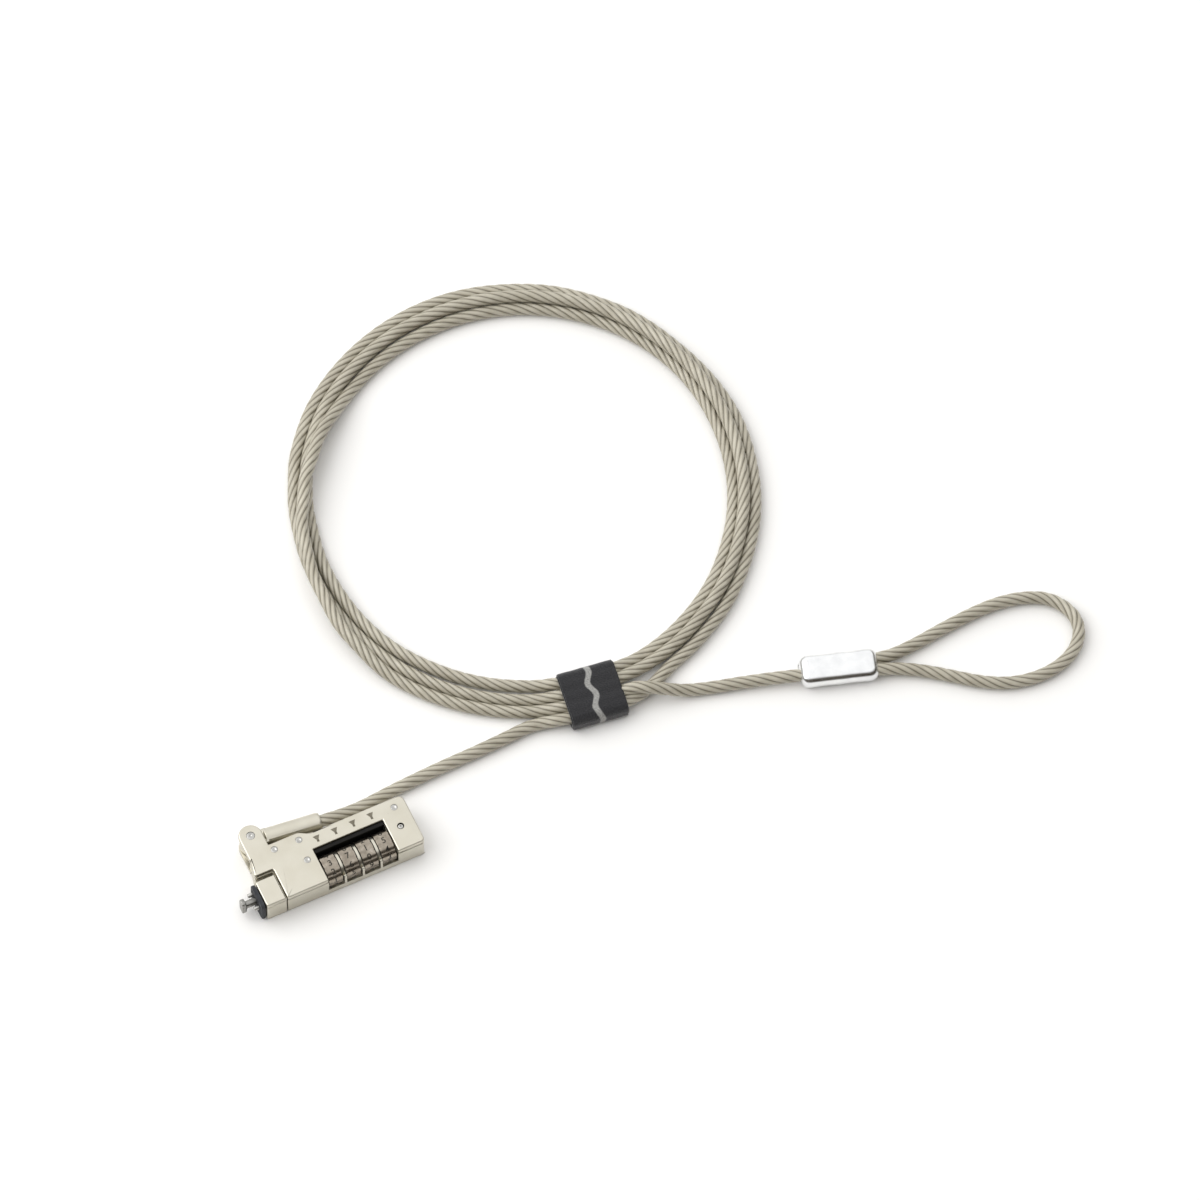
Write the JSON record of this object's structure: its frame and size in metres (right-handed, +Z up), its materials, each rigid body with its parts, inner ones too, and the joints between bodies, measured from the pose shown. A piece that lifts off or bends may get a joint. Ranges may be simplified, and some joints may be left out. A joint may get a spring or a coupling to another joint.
{
  "type": "laptop cable lock",
  "caption": "Combination cable lock for a laptop security slot: dial lock head with T-bar, swivel arm, coiled coated steel cable with crimped eye loop and strap.",
  "frame": {"origin": "centre of the lock head and its swivel arm, on the surface they lie on", "axes": "+X along the dial barrel away from the T-bar, +Y towards the cable arm, +Z up through the thin way of the head"},
  "size_m": [0.3037, 0.2206, 0.0109],
  "materials": {
    "die_cast_body": "satin nickel plated zinc die casting",
    "steel_pins": "polished steel",
    "hardened_steel": "nickel plated hardened steel",
    "spring_steel": "bright spring steel",
    "cam_brass": "machined brass",
    "dial_metal": "nickel plated, filled digits",
    "black_strip": "black moulded nylon",
    "collar_rubber": "black moulded rubber",
    "coated_cable": "clear vinyl over twisted galvanised steel strands",
    "crimp_aluminium": "bright, press marked",
    "strap_nylon": "black hook and loop tape with a woven grey stripe"
  },
  "bodies": {
    "root": {"swivel_arm": "die_cast_body", "cable_lead": "coated_cable", "cable_coil": "coated_cable", "cable_tail": "coated_cable", "cable_eye": "coated_cable", "crimp_sleeve": "crimp_aluminium", "tie_strap": "strap_nylon"},
    "head": {"housing_lower": "die_cast_body", "housing_cover": "die_cast_body", "cover_rivet_1": "steel_pins", "cover_rivet_2": "steel_pins", "cover_rivet_3": "steel_pins", "cover_rivet_4": "steel_pins", "pivot_pin": "steel_pins", "anti_shim_strip": "black_strip", "detent_spring": "spring_steel", "t_bar_spindle": "hardened_steel", "spindle_nut": "hardened_steel", "reset_spring": "spring_steel"},
    "collar": {"locking_sleeve": "hardened_steel", "slider_grip": "die_cast_body", "collar_pad": "collar_rubber", "guard_pin_1": "steel_pins", "guard_pin_2": "steel_pins"},
    "dial_1": {"dial_1": "dial_metal", "code_cam_1": "cam_brass"},
    "dial_2": {"dial_2": "dial_metal", "code_cam_2": "cam_brass"},
    "dial_3": {"dial_3": "dial_metal", "code_cam_3": "cam_brass"},
    "dial_4": {"dial_4": "dial_metal", "code_cam_4": "cam_brass"},
    "reset": {"reset_pin": "steel_pins"}
  },
  "joints": [
    {"name": "cable_swivel", "type": "hinge", "parent": "root", "child": "head", "pos_m": [-0.0197, 0.01105, 0.0055], "axis": [0, 0, 1], "range_deg": [-175, 0]},
    {"name": "collar_slide", "type": "slide", "parent": "head", "child": "collar", "axis": [-1, 0, 0], "range_m": [0, 0.003]},
    {"name": "dial_1_turn", "type": "hinge", "parent": "head", "child": "dial_1", "pos_m": [0.0001, -0.00945, 0.0056], "axis": [1, 0, 0], "continuous": true},
    {"name": "dial_2_turn", "type": "hinge", "parent": "head", "child": "dial_2", "pos_m": [0.0067, -0.00945, 0.0056], "axis": [1, 0, 0], "continuous": true},
    {"name": "dial_3_turn", "type": "hinge", "parent": "head", "child": "dial_3", "pos_m": [0.0133, -0.00945, 0.0056], "axis": [1, 0, 0], "continuous": true},
    {"name": "dial_4_turn", "type": "hinge", "parent": "head", "child": "dial_4", "pos_m": [0.0199, -0.00945, 0.0056], "axis": [1, 0, 0], "continuous": true},
    {"name": "reset_press", "type": "slide", "parent": "head", "child": "reset", "axis": [0, 0, -1], "range_m": [0, 0.0012], "stiffness_N_per_m": 300, "deforming": ["reset_spring"]}
  ]
}
